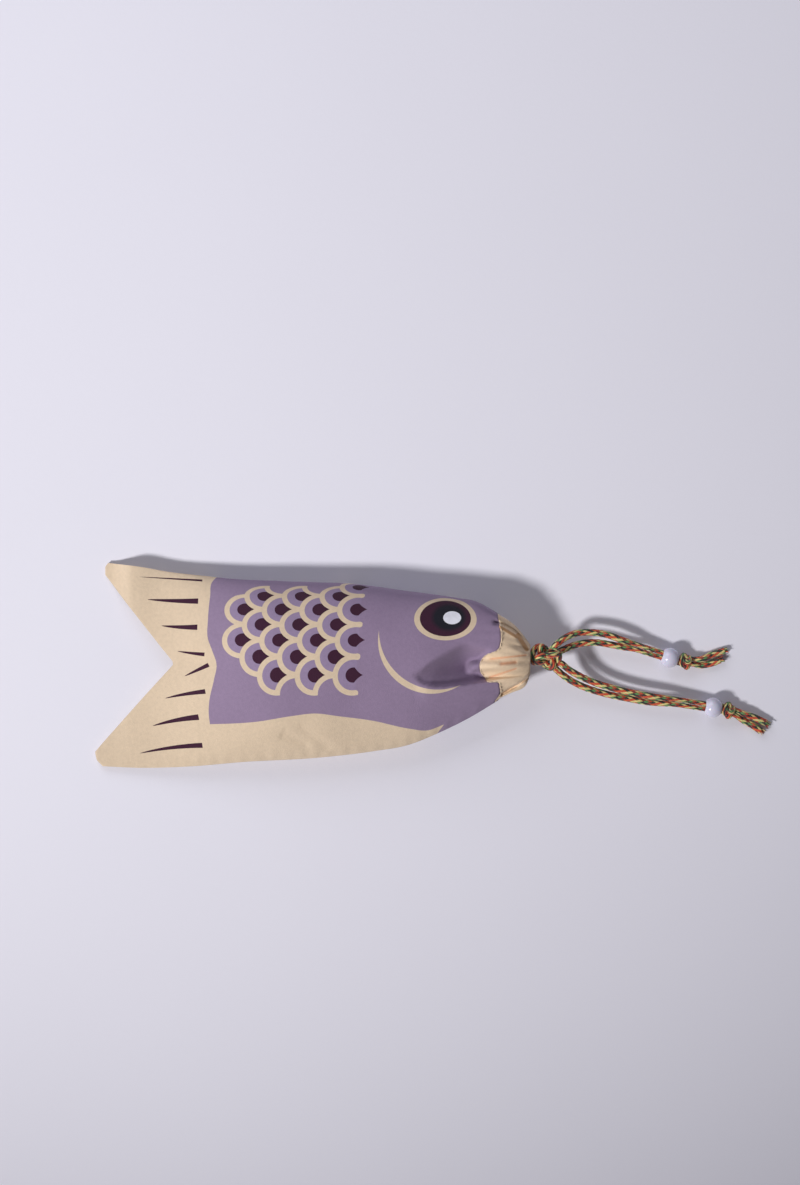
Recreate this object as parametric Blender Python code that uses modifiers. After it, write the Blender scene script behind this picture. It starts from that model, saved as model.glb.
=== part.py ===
"""Carp-shaped drawstring pouch, filled and tied shut, lying on its side.

World frame in metres: +X from the tail to the mouth, +Y towards the fish's back, +Z up.
The origin is the bottom centre of the pouch's box, on the surface that it lies on.
Working numbers are in millimetres and become metres when a mesh is written.
"""
import math

import bmesh
import bpy
import numpy as np
from mathutils import Vector

MM = 0.001

# Driving dimensions, in millimetres.
CLOTH = 0.6              # printed cloth, one layer
BAND = 0.9               # casing band, cloth folded double
GAP = 0.45               # clearance between neighbours
EDGE = 0.8               # half the height of a closed seam or of the back fold
MOUTH_X = 92.6           # where the printed cloth ends and the casing starts
CINCH_X = 108.3          # drawn-up end of the casing
CINCH_CENTRE = (3.7, 17.0)       # y, z
CINCH_HALF = (7.1, 6.2)          # half width, half height
WADDING_START = -52.0
WADDING_SHORT = 5.0      # the wadding stops this far before the casing
WADDING_GAP = 1.0        # between the wadding and the cloth's inner side
WADDING_WIDTHS = (0.1, 0.9)         # share of the pouch's width that it fills
BELLY_THREAD = (-70.0, MOUTH_X - 4, 0.04)   # first x, last x, width u
TAIL_THREAD_WIDTHS = (0.14, 0.535, 0.8)        # widths u of its ends and of the notch
TAIL_THREAD_INSET = 5.0
CASING_THREAD_INSET = 1.2
CASING_THREAD_WIDTHS = (0.06, 0.94)
THREAD_R = 0.25
CORD_R = 1.65            # braided cord, lying free
SQUEEZED_R = 1.2         # the same cord where a bead or knot grips it
BEAD_R = 5.0
BORE_R = 2.55
ABREAST = 1.28           # half the distance between two strands side by side in a bead
KNOT_CENTRE = (116.4, 4.7, 15.2)
KNOT_HALF = (8.0, 6.6, 5.8)
KNOT_WAIST = (0.06, 6.0)            # depth and spacing of the waists between its turns
END_KNOT_R = 3.8
KNOT_BORE_R = 2.75       # room for the same two strands in the end knot
END_KNOT_LENGTH = 6.4
STRAIGHT_RUN = 17.0      # straight cord behind each bead, which it can slide along

# Outline and heights of the pouch as (x, value) stations along its length.
BACK_EDGE = ((-102, 51.3), (-84, 49.1), (-71, 46.8), (-55, 45.0), (-39, 43.3), (-20, 42.4),
             (3, 41.6), (20, 40.9), (33, 39.4), (45, 37.6), (58, 36.0), (72, 33.9), (82, 32.0),
             (88, 28.9), (93, 25.8))
BELLY_EDGE = ((-105, -50.2), (-86, -50.9), (-61, -50.1), (-34, -47.7), (4, -45.4),
              (31, -42.2), (48, -39.1), (63, -33.1), (78, -25.7), (93, -16.6))
TAIL_END = ((0.0, -104.4), (0.03, -107.4), (0.07, -108.3), (0.535, -68.0),
            (0.94, -103.2), (0.98, -103.2), (1.0, -101.8))
BACK_HEIGHT = ((-104, 0.8), (-99, 1.8), (-95, 5.0), (-91, 8.3), (-86, 8.9), (-80, 8.5),
               (-58, 9.4), (-30, 11.0), (0, 11.0), (30, 9.8), (60, 10.8), (80, 14.2), (93, 18.6))
BACK_FULLNESS = ((-60, 0.6), (0, 0.52), (30, 0.41), (60, 0.35), (85, 0.32))   # power at the back
BELLY_HEIGHT = ((-108, 1.6), (-80, 4.0), (-50, 8.0), (-20, 11.0), (40, 12.5), (93, 17.0))
CROWN_UP = ((-108, 0.0), (-88, 0.3), (-70, 3.5), (-50, 11.0), (-28, 17.0), (0, 19.5),
            (30, 20.3), (55, 19.6), (75, 15.5), (93, 10.0))
CROWN_DOWN = ((-108, 0.0), (-88, 0.3), (-70, 3.0), (-50, 9.5), (-28, 14.0), (0, 15.8),
              (30, 16.8), (55, 17.5), (75, 14.5), (93, 8.5))

BEADS = {
    "a": {"centre": (178.5, 4.05, 5.0), "heading": -17.4},
    "b": {"centre": (200.0, -20.8, 5.0), "heading": -8.8},
}
END_KNOTS = {
    "a": {"centre": (186.3, 2.2, 4.2), "heading": -3.0},
    "b": {"centre": (207.8, -22.3, 4.2), "heading": -18.0},
}
DROP = 0.11              # how much a strand falls per millimetre at its bead and knot

# Half the drawcord's route inside a casing band, from the mouth's middle outwards: distance back
# from the cinch, distance aside, and rise over the lowest place.
DRAWCORD_ROUTE = ((4.5, 2.6, 0.0), (7.5, 6.0, 0.0), (8.6, 7.0, 0.6))
DRAWCORD_TURN = (9.2, 4.6)          # distance back and rise at the middle of its turn

# Routes of the strands: from the mouth knot to the straight run, then the tail on the table.
ROUTES = {
    "cord_a_strand_upper": {
        "bead": "a", "side": 1,
        "lead": ((121.3, 10.7, 16.0), (126.5, 14.4, 13.4), (131.5, 16.2, 11.2), (138, 16.7, 9.6),
                 (146.5, 15.6, 8.7), (154, 13.0, 8.3)),
        "tail": ((194.0, 3.2, 3.9), (199.5, 5.3, 2.5), (206.0, 7.4, 1.8)),
    },
    "cord_a_strand_lower": {
        "bead": "a", "side": -1,
        "lead": ((124.4, 8.0, 14.0), (128.5, 9.6, 11.4), (134.5, 11.2, 9.0), (142, 11.6, 7.2),
                 (148.5, 10.6, 6.3), (155, 9.4, 5.7)),
        "tail": ((194.0, 0.1, 2.0), (198.9, 0.9, 1.8), (203.9, 2.8, 1.8)),
    },
    "cord_b_strand_upper": {
        "bead": "b", "side": 1,
        "lead": ((124.3, 1.0, 15.4), (127.8, -1.8, 13.2), (131.3, -3.9, 11.4), (136, -6.3, 9.9),
                 (140.5, -8.2, 9.1), (147, -10.3, 8.5), (156, -12.6, 8.2), (168, -15.0, 8.3)),
        "tail": ((215.2, -23.9, 4.0), (220.7, -25.8, 2.6), (227.0, -28.7, 1.8)),
    },
    "cord_b_strand_lower": {
        "bead": "b", "side": -1,
        "lead": ((121.3, -1.5, 14.2), (125.0, -4.6, 12.0), (129.5, -7.6, 10.0), (134.3, -10.0, 8.4),
                 (139, -11.8, 7.2), (147, -14.1, 6.0), (156, -16.0, 5.4), (168, -18.1, 5.4)),
        "tail": ((214.8, -27.0, 2.0), (219.3, -29.4, 1.8), (224.2, -32.7, 1.8)),
    },
}

PURPLE = (0.25, 0.18, 0.29)
CREAM = (0.72, 0.57, 0.43)
THREAD_CREAM = (0.78, 0.68, 0.55)
WADDING_WHITE = (0.85, 0.85, 0.82)
BRAID = (0.42, 0.20, 0.07)
BEAD_WHITE = (0.60, 0.60, 0.72)


def material(name, colour, roughness, metallic=0.0):
    """A Principled material with one colour."""
    made = bpy.data.materials.new(name)
    made.use_nodes = True
    shader = made.node_tree.nodes["Principled BSDF"]
    shader.inputs["Base Color"].default_value = (*colour, 1.0)
    shader.inputs["Roughness"].default_value = roughness
    shader.inputs["Metallic"].default_value = metallic
    return made


def add(name, data, made, collection):
    """Put a mesh or curve in the scene under its part's name."""
    part = bpy.data.objects.new(name, data)
    data.materials.append(made)
    collection.objects.link(part)
    return part


def through(stations):
    """Smooth function through (x, value) stations: cubic pieces with averaged slopes."""
    x, y = np.array(stations, float).T
    slope = np.gradient(y, x)

    def at(p):
        p = np.clip(p, x[0], x[-1])
        i = np.clip(np.searchsorted(x, p) - 1, 0, len(x) - 2)
        step = x[i + 1] - x[i]
        t = (p - x[i]) / step
        return ((2 * t**3 - 3 * t**2 + 1) * y[i] + (t**3 - 2 * t**2 + t) * step * slope[i]
                + (3 * t**2 - 2 * t**3) * y[i + 1] + (t**3 - t**2) * step * slope[i + 1])
    return at


back_edge, belly_edge = through(BACK_EDGE), through(BELLY_EDGE)
back_height, belly_height = through(BACK_HEIGHT), through(BELLY_HEIGHT)
crown_up, crown_down = through(CROWN_UP), through(CROWN_DOWN)
back_fullness = through(BACK_FULLNESS)


def crown(x, u):
    """Height across the pouch: steep at the back fold (u = 1), wedge-shaped at the belly."""
    belly_power, back_power = 0.75, back_fullness(x)
    widest = belly_power / (belly_power + back_power)
    peak = widest**belly_power * (1 - widest)**back_power
    return np.clip(u, 0, 1)**belly_power * np.clip(1 - u, 0, 1)**back_power / peak


def skin(x, u, side):
    """Outer surface at station x and width u, for the upper (1) or under (-1) side."""
    y = belly_edge(x) + u * (back_edge(x) - belly_edge(x))
    middle = belly_height(x) + u * (back_height(x) - belly_height(x))
    rise = np.where(side > 0, crown_up(x), crown_down(x)) * crown(x, u) + EDGE
    return np.stack([x, y, np.maximum(middle + side * rise, 0.0)], axis=-1)


def tail_end(u):
    """x of the tail's V-cut edge at width u, straight between its corners."""
    width, x = np.array(TAIL_END).T
    return np.interp(u, width, x)


def across(count):
    """Widths from belly to back, closer together at both edges."""
    return 0.5 - 0.5 * np.cos(np.linspace(0, math.pi, count))


def grid_faces(rows, columns, start=0, flip=False):
    """Quads of a rows x columns grid of vertices."""
    faces = []
    for row in range(rows - 1):
        for column in range(columns - 1):
            corner = start + row * columns + column
            face = (corner, corner + 1, corner + columns + 1, corner + columns)
            faces.append(face[::-1] if flip else face)
    return faces


def mesh_from(name, points, faces):
    """Mesh in metres from points in millimetres."""
    mesh = bpy.data.meshes.new(name)
    mesh.from_pydata((np.asarray(points).reshape(-1, 3) * MM).tolist(), [], faces)
    mesh.update()
    return mesh


def shell(name, grid, thickness, made, collection, flip=False):
    """Open surface with an inward thickness."""
    rows, columns = grid.shape[:2]
    mesh = mesh_from(name, grid, grid_faces(rows, columns, flip=flip))
    mesh.shade_smooth()
    part = add(name, mesh, made, collection)
    wall = part.modifiers.new("thickness", "SOLIDIFY")
    wall.thickness = thickness * MM
    wall.offset = -1.0
    wall.use_even_offset = False
    return part


def printed_cloth(made, collection):
    """One cloth folded along the back and open at the belly, the V-cut tail and the mouth."""
    widths = across(19)
    loop_u = np.concatenate([widths, widths[::-1]])
    side = np.concatenate([np.ones(19), -np.ones(19)])
    run = np.linspace(0, 1, 36) ** 1.2
    u, s = np.meshgrid(loop_u, run, indexing="ij")
    sides = np.repeat(side[:, None], len(run), axis=1)
    x = tail_end(u) + s * (MOUTH_X - tail_end(u))
    return shell("printed_body_cloth", skin(x, u, sides), CLOTH, made, collection)


def cinch(u, side):
    """Outline of the drawn-up mouth, matched to widths u of the pouch's end."""
    angle = math.pi * (1 - u)
    lift = np.maximum(CINCH_HALF[1] * np.sin(angle), EDGE)
    y = CINCH_CENTRE[0] + CINCH_HALF[0] * np.cos(angle)
    return np.stack([np.full_like(u, CINCH_X), y, CINCH_CENTRE[1] + side * lift], axis=-1)


def casing_surface(u, s, side):
    """Casing between the pouch's end (s = 0) and the cinch (s = 1), a little rounded."""
    start = skin(np.full_like(u, MOUTH_X + GAP), u, np.full_like(u, side))
    swell = np.sin(math.pi * s)[..., None] * np.array([0.0, 0.0, 1.4 * side])
    draw = (s**0.85)[..., None]
    surface = start * (1 - draw) + cinch(u, side) * draw + swell * np.sin(math.pi * u)[..., None]
    surface[..., 0] = MOUTH_X + GAP + s * (CINCH_X - MOUTH_X - GAP)
    return surface


def casing_band(name, side, made, collection):
    """Half of the casing: the upper or the under band."""
    u, s = np.meshgrid(across(13), np.linspace(0, 1, 7), indexing="ij")
    return shell(name, casing_surface(u, s, side), BAND, made, collection, flip=side < 0)


def wadding(made, collection):
    """Soft filling: the pouch's shape set inwards, closed by a narrow side wall."""
    inset = CLOTH + WADDING_GAP
    u = np.linspace(*WADDING_WIDTHS, 13)
    s = np.linspace(0.0, 1.0, 20)
    width, run = np.meshgrid(u, s, indexing="ij")
    x = WADDING_START + run * (MOUTH_X - WADDING_SHORT - WADDING_START)
    sheets = []
    for side in (1, -1):
        grid = skin(x, width, np.full_like(x, side))
        du = np.gradient(grid, axis=0)
        ds = np.gradient(grid, axis=1)
        normal = np.cross(ds, du)
        normal /= np.linalg.norm(normal, axis=-1, keepdims=True)
        sheets.append(grid - side * normal * inset)
    rows, columns = width.shape
    count = rows * columns
    faces = grid_faces(rows, columns, flip=True) + grid_faces(rows, columns, start=count)
    rim = [c for c in range(columns)]
    rim += [r * columns + columns - 1 for r in range(1, rows)]
    rim += [(rows - 1) * columns + c for c in range(columns - 2, -1, -1)]
    rim += [r * columns for r in range(rows - 2, 0, -1)]
    for here, after in zip(rim, rim[1:] + rim[:1]):
        faces.append((here, after, after + count, here + count))
    mesh = mesh_from("wadding", np.concatenate([sheet.reshape(-1, 3) for sheet in sheets]), faces)
    mesh.shade_smooth()
    shape = bmesh.new()
    shape.from_mesh(mesh)
    bmesh.ops.recalc_face_normals(shape, faces=shape.faces)
    shape.to_mesh(mesh)
    shape.free()
    return add("wadding", mesh, made, collection)


def smooth_path(points, spacing):
    """Points and radii read at even steps from a smooth curve through the route's own points."""
    points = np.array(points, float)
    chord = np.linalg.norm(np.diff(points[:, :3], axis=0), axis=1)
    knots = np.concatenate([[0], np.cumsum(chord)])
    steps = max(2, int(round(knots[-1] / spacing)) + 1)
    where = np.linspace(0, knots[-1], steps)
    return np.stack([through(list(zip(knots, column)))(where) for column in points.T], axis=1)


def tube(name, path, sides, made, collection, closed=False):
    """Curve with a round bevel and filled ends; path columns are x, y, z and radius."""
    curve = bpy.data.curves.new(name, "CURVE")
    curve.dimensions = "3D"
    curve.bevel_depth = MM
    curve.bevel_resolution = sides // 2 - 2
    curve.use_fill_caps = not closed
    spline = curve.splines.new("POLY")
    spline.points.add(len(path) - 1)
    for point, (x, y, z, radius) in zip(spline.points, path):
        point.co = (x * MM, y * MM, z * MM, 1.0)
        point.radius = radius
    spline.use_cyclic_u = closed
    return add(name, curve, made, collection)


def with_radius(points, radius):
    """Append one radius to each point."""
    return [(*point, radius) for point in points]


def belly_thread(made, collection):
    """Thread just inside the belly seam, from the tail's corner to the casing."""
    first, last, u = BELLY_THREAD
    x = np.linspace(first, last, 30)
    middle = belly_height(x) + u * (back_height(x) - belly_height(x))
    y = belly_edge(x) + u * (back_edge(x) - belly_edge(x))
    path = np.stack([x, y, middle, np.full_like(x, THREAD_R)], axis=1)
    return tube("belly_seam_thread", path, 6, made, collection)


def tail_thread(made, collection):
    """Thread just inside the V-cut edge of the tail."""
    low, notch, high = TAIL_THREAD_WIDTHS
    u = np.concatenate([np.linspace(low, notch, 24), np.linspace(notch, high, 24)[1:]])
    x = tail_end(u) + TAIL_THREAD_INSET
    middle = belly_height(x) + u * (back_height(x) - belly_height(x))
    y = belly_edge(x) + u * (back_edge(x) - belly_edge(x))
    path = np.stack([x, y, middle, np.full_like(x, 0.6 * THREAD_R)], axis=1)
    return tube("tail_seam_thread", path, 6, made, collection)


def casing_thread(name, side, made, collection):
    """Thread that joins one casing band to the printed cloth, inside both."""
    u = np.linspace(*CASING_THREAD_WIDTHS, 24)
    ring = skin(np.full_like(u, MOUTH_X - CASING_THREAD_INSET), u, np.full_like(u, side))
    along = np.gradient(ring, axis=0)
    normal = np.stack([np.zeros_like(u), -side * along[:, 2], side * along[:, 1]], axis=1)
    normal /= np.linalg.norm(normal, axis=1, keepdims=True)
    ring = ring - normal * (CLOTH + GAP + THREAD_R)
    path = np.column_stack([ring, np.full_like(u, THREAD_R)])
    return tube(name, path, 6, made, collection)


def drawcord(name, side, made, collection):
    """Cord inside one casing band: in at the mouth, round inside the band and out again."""
    middle_y, middle_z = CINCH_CENTRE
    bundle = CORD_R + 0.2
    half = [(CINCH_X - 0.6, bundle, middle_z + side * bundle)]
    half += [(CINCH_X - back, aside, middle_z + side * (bundle + 0.2 + rise))
             for back, aside, rise in DRAWCORD_ROUTE]
    turn_back, turn_rise = DRAWCORD_TURN
    route = [(x, middle_y - y, z) for x, y, z in half]
    route += [(CINCH_X - turn_back, middle_y, middle_z + side * turn_rise)]
    route += [(x, middle_y + y, z) for x, y, z in reversed(half)]
    return tube(name, smooth_path(with_radius(route, CORD_R), 2.6), 8, made, collection)


def bore_axis(place):
    """Unit vector along the strands at a bead or end knot, away from the mouth knot."""
    heading = math.radians(place["heading"])
    axis = np.array([math.cos(heading), math.sin(heading), -DROP])
    return axis / np.linalg.norm(axis)


def strand_path(name):
    """One free strand: lead from the mouth knot, straight run through bead and knot, tail."""
    route = ROUTES[name]
    points = with_radius(route["lead"], CORD_R)
    for place, distances in ((BEADS[route["bead"]], np.linspace(-STRAIGHT_RUN, BEAD_R - 0.6, 5)),
                             (END_KNOTS[route["bead"]], (-2.2, 1.0, 4.0))):
        axis = bore_axis(place)
        aside = np.cross([0.0, 0.0, 1.0], axis) * ABREAST * route["side"]
        for distance in distances:
            points.append((*(np.array(place["centre"]) + aside + axis * distance), SQUEEZED_R))
    points += with_radius(route["tail"], CORD_R)
    points[-3] = (*points[-3][:3], (SQUEEZED_R + 2 * CORD_R) / 3)
    return smooth_path(points, 3.4)


def turned(name, profile, segments, made, collection):
    """Closed profile of (radius, height) points spun round the local Z axis."""
    mesh = bpy.data.meshes.new(name)
    count = len(profile)
    mesh.from_pydata([(r * MM, 0, h * MM) for r, h in profile],
                     [(i, (i + 1) % count) for i in range(count)], [])
    part = add(name, mesh, made, collection)
    screw = part.modifiers.new("turn", "SCREW")
    screw.steps = screw.render_steps = segments
    screw.use_merge_vertices = True
    screw.merge_threshold = 1e-6
    screw.use_smooth_shade = True
    return part


def place_on_cord(part, place):
    """Put a turned piece round the strands, with its own axis along them."""
    part.location = Vector(place["centre"]) * MM
    part.rotation_mode = "QUATERNION"
    part.rotation_quaternion = Vector(bore_axis(place)).to_track_quat("Z", "Y")


def bead(letter, made, collection):
    """Round bead with a bore wide enough for two squeezed strands."""
    rim = math.acos(BORE_R / BEAD_R)
    profile = [(BEAD_R * math.cos(a), BEAD_R * math.sin(a)) for a in np.linspace(rim, -rim, 13)]
    part = turned(f"bead_{letter}", profile, 24, made, collection)
    place_on_cord(part, BEADS[letter])
    return part


def end_knot(letter, made, collection):
    """Turn of the overhand knot behind a bead, with the strands through its middle."""
    half = END_KNOT_LENGTH / 2
    swell = END_KNOT_R - KNOT_BORE_R
    angles = np.linspace(math.pi / 2, -math.pi / 2, 9)
    profile = [(KNOT_BORE_R + 0.3 + (swell - 0.3) * math.cos(a), half * math.sin(a))
               for a in angles]
    profile += [(KNOT_BORE_R, -half), (KNOT_BORE_R, half)]
    part = turned(f"end_knot_{letter}", profile, 20, made, collection)
    place_on_cord(part, END_KNOTS[letter])
    return part


def mouth_knot(made, collection):
    """Knot that ties all four strands at the mouth: a round lump with a waist of cord turns."""
    shape = bmesh.new()
    bmesh.ops.create_uvsphere(shape, u_segments=20, v_segments=14, radius=1.0)
    depth, spacing = KNOT_WAIST
    for vertex in shape.verts:
        waist = 1.0 - depth * math.cos(spacing * vertex.co.x) * (1.0 - abs(vertex.co.x))
        vertex.co = Vector((vertex.co.x * KNOT_HALF[0], vertex.co.y * waist * KNOT_HALF[1],
                            vertex.co.z * waist * KNOT_HALF[2])) * MM
    mesh = bpy.data.meshes.new("mouth_knot")
    shape.to_mesh(mesh)
    shape.free()
    mesh.shade_smooth()
    part = add("mouth_knot", mesh, made, collection)
    part.location = Vector(KNOT_CENTRE) * MM
    return part


def main():
    for old in list(bpy.data.objects):
        bpy.data.objects.remove(old, do_unlink=True)
    pouch = bpy.data.collections.new("carp_drawstring_pouch")
    bpy.context.scene.collection.children.link(pouch)

    purple = material("printed_cloth", PURPLE, 0.8)
    cream = material("casing_cloth", CREAM, 0.8)
    thread = material("sewing_thread", THREAD_CREAM, 0.6)
    braid = material("braided_cord", BRAID, 0.6)
    gloss = material("bead_plastic", BEAD_WHITE, 0.15)

    printed_cloth(purple, pouch)
    wadding(material("wadding", WADDING_WHITE, 0.95), pouch)
    belly_thread(thread, pouch)
    tail_thread(thread, pouch)
    for side, place in ((1, "upper"), (-1, "under")):
        casing_band(f"casing_band_{place}", side, cream, pouch)
        casing_thread(f"casing_seam_thread_{place}", side, thread, pouch)
    drawcord("drawcord_a_in_casing", 1, braid, pouch)
    drawcord("drawcord_b_in_casing", -1, braid, pouch)
    mouth_knot(braid, pouch)
    for name in ROUTES:
        tube(name, strand_path(name), 8, braid, pouch)
    for letter in BEADS:
        bead(letter, gloss, pouch)
        end_knot(letter, braid, pouch)


main()
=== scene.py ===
"""Carp-shaped drawstring pouch: printed cotton over wadding, gathered casing, braided cords, beads."""

import math

import bpy
import numpy as np
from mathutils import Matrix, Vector


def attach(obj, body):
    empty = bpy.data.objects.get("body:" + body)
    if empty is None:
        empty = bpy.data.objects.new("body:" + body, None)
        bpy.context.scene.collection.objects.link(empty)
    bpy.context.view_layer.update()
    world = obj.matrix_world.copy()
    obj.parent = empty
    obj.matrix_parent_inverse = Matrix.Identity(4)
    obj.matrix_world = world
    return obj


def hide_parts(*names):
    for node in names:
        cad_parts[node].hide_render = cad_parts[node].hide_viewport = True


bl_info = {
    "name": "Carp drawstring pouch",
    "version": (1, 0, 0),
    "blender": (4, 5, 0),
    "location": "3D View > Sidebar > Pouch",
    "description": "Builds the cloth, casing, cords and beads of a carp-shaped drawstring pouch",
    "category": "Add Mesh",
}

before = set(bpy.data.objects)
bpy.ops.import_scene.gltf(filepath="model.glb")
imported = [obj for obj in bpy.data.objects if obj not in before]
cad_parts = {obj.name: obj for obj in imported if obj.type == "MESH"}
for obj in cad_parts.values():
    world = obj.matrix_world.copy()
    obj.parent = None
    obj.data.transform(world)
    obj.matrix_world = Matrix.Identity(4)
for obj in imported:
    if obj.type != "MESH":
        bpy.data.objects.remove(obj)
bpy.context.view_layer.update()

MM = 0.001

# The pouch's shape, as in the frame: millimetres, tail towards -X, mouth towards +X, back towards +Y.
EDGE = 0.8
MOUTH_X = 92.6
CINCH_X = 108.3
CINCH_CENTRE = (3.7, 17.0)
CINCH_HALF = (7.1, 6.2)
CORD_R = 1.65
SQUEEZED_R = 1.2
BEAD_R = 5.0
BORE_R = 2.55
ABREAST = 1.28
KNOT_CENTRE = (116.4, 4.7, 15.2)
KNOT_HALF = (8.0, 6.6, 5.8)
END_KNOT_R = 3.8
END_KNOT_LENGTH = 6.4
STRAIGHT_RUN = 17.0
DROP = 0.11
BACK_EDGE = ((-102, 51.3), (-84, 49.1), (-71, 46.8), (-55, 45.0), (-39, 43.3), (-20, 42.4),
             (3, 41.6), (20, 40.9), (33, 39.4), (45, 37.6), (58, 36.0), (72, 33.9), (82, 32.0),
             (88, 28.9), (93, 25.8))
BELLY_EDGE = ((-105, -50.2), (-86, -50.9), (-61, -50.1), (-34, -47.7), (4, -45.4), (31, -42.2),
              (48, -39.1), (63, -33.1), (78, -25.7), (93, -16.6))
TAIL_END = ((0.0, -104.4), (0.03, -107.4), (0.07, -108.3), (0.535, -68.0), (0.94, -103.2),
            (0.98, -103.2), (1.0, -101.8))
BACK_HEIGHT = ((-104, 0.8), (-99, 1.8), (-95, 5.0), (-91, 8.3), (-86, 8.9), (-80, 8.5),
               (-58, 9.4), (-30, 11.0), (0, 11.0), (30, 9.8), (60, 10.8), (80, 14.2), (93, 18.6))
BACK_FULLNESS = ((-60, 0.6), (0, 0.52), (30, 0.41), (60, 0.35), (85, 0.32))   # power at the back
BELLY_HEIGHT = ((-108, 1.6), (-80, 4.0), (-50, 8.0), (-20, 11.0), (40, 12.5), (93, 17.0))
CROWN_UP = ((-108, 0), (-88, 0.3), (-70, 3.5), (-50, 11), (-28, 17), (0, 19.5), (30, 20.3),
            (55, 19.6), (75, 15.5), (93, 10))
CROWN_DOWN = ((-108, 0), (-88, 0.3), (-70, 3.0), (-50, 9.5), (-28, 14), (0, 15.8), (30, 16.8),
              (55, 17.5), (75, 14.5), (93, 8.5))
BEADS = {"a": {"centre": (178.5, 4.05, 5.0), "heading": -17.4},
         "b": {"centre": (200.0, -20.8, 5.0), "heading": -8.8}}
END_KNOTS = {"a": {"centre": (186.3, 2.2, 4.2), "heading": -3.0},
             "b": {"centre": (207.8, -22.3, 4.2), "heading": -18.0}}
ROUTES = {
    "cord_a_strand_upper": {
        "bead": "a", "side": 1,
        "lead": ((121.3, 10.7, 16.0), (126.5, 14.4, 13.4), (131.5, 16.2, 11.2), (138, 16.7, 9.6),
                 (146.5, 15.6, 8.7), (154, 13.0, 8.3)),
        "tail": ((194.0, 3.2, 3.9), (199.5, 5.3, 2.5), (206.0, 7.4, 1.8))},
    "cord_a_strand_lower": {
        "bead": "a", "side": -1,
        "lead": ((124.4, 8.0, 14.0), (128.5, 9.6, 11.4), (134.5, 11.2, 9.0), (142, 11.6, 7.2),
                 (148.5, 10.6, 6.3), (155, 9.4, 5.7)),
        "tail": ((194.0, 0.1, 2.0), (198.9, 0.9, 1.8), (203.9, 2.8, 1.8))},
    "cord_b_strand_upper": {
        "bead": "b", "side": 1,
        "lead": ((124.3, 1.0, 15.4), (127.8, -1.8, 13.2), (131.3, -3.9, 11.4), (136, -6.3, 9.9),
                 (140.5, -8.2, 9.1), (147, -10.3, 8.5), (156, -12.6, 8.2), (168, -15.0, 8.3)),
        "tail": ((215.2, -23.9, 4.0), (220.7, -25.8, 2.6), (227.0, -28.7, 1.8))},
    "cord_b_strand_lower": {
        "bead": "b", "side": -1,
        "lead": ((121.3, -1.5, 14.2), (125.0, -4.6, 12.0), (129.5, -7.6, 10.0),
                 (134.3, -10.0, 8.4), (139, -11.8, 7.2), (147, -14.1, 6.0), (156, -16.0, 5.4),
                 (168, -18.1, 5.4)),
        "tail": ((214.8, -27.0, 2.0), (219.3, -29.4, 1.8), (224.2, -32.7, 1.8))},
}

# Folds of the drawn-up head, in plan: the lip of the lower lobe, the soft end of the hollow
# beside it, the seam between print and casing, and the creases of the casing.
LIP = ((49.0, -3.2), (50.2, -4.1), (53.4, -7.4), (59.4, -9.2), (72.4, -8.9), (86, -7.2), (93, -6.4))
HOLLOW_END = ((49.0, -3.4), (50.7, -3.2), (59.4, 3.0), (68, 8.0), (76.2, 11.5), (84, 9.5), (93, 8.0))
HOLLOW_DEPTH = ((49, 0), (52, 1.3), (60, 4.6), (70, 10.0), (79, 13.6), (88, 11.0), (93, 8.5))
LIP_STEP = 0.45                     # share of the hollow's depth that it drops at the lip
LOBE_RISE, LOBE_WIDTH, LOBE_START = 2.2, 6.0, (50, 58)
PLEAT_RISE, PLEAT_START = 11.5, (76.5, 81.0)
PLEAT_RIDGE = (76.0, -0.6, 0.13)    # x and y of its start, and its slope
PLEAT_WIDTH, PLEAT_SPREAD, PLEAT_SPREADS = 2.5, 2.9, (81, 88)
SEAM_PIT = ((91.8, 21.7), (1.5, 1.1), 3.0)      # centre, widths and depth
MOUTH_SEAM = ((-17.0, 91.0), (-13.2, 93.3), (-9.9, 93.0), (-7.4, 91.6), (-6.2, 87.6), (-4.5, 84.9),
              (-1.2, 83.3), (3.1, 83.8), (6.0, 86.5), (8.0, 91.2), (11.8, 93.3), (16.1, 93.5),
              (25.1, 92.2))
CREASES = (((87.8, 3.8), (106.0, 5.7), 0.5, 0.6), ((92.8, 1.4), (100.6, 2.2), 0.9, 0.7),
           ((87.8, -5.5), (101.0, -0.9), 0.5, 0.5))
FOLDS = (((108.2, -5.2), (94.2, -14.0), 0.7, 2.6), ((101.0, 17.5), (106.6, 8.0), 1.3, 0.5))
STRAPS = (((92.0, 20.3), (101.4, 14.7), 0.9, -0.5), ((101.4, 16.5), (106.4, 8.6), 1.3, 0.0))

# Uneven places of the stuffed body. The lines here and above are start, end, width and depth.
DIMPLES = (((-15, -33), (-3, -38), 2.6, 0.9), ((-6, -29), (8, -40), 2.2, 0.72))
TAIL_DIP = ((-66, 3), (-44, 2), 6.0, 0.9)

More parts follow.
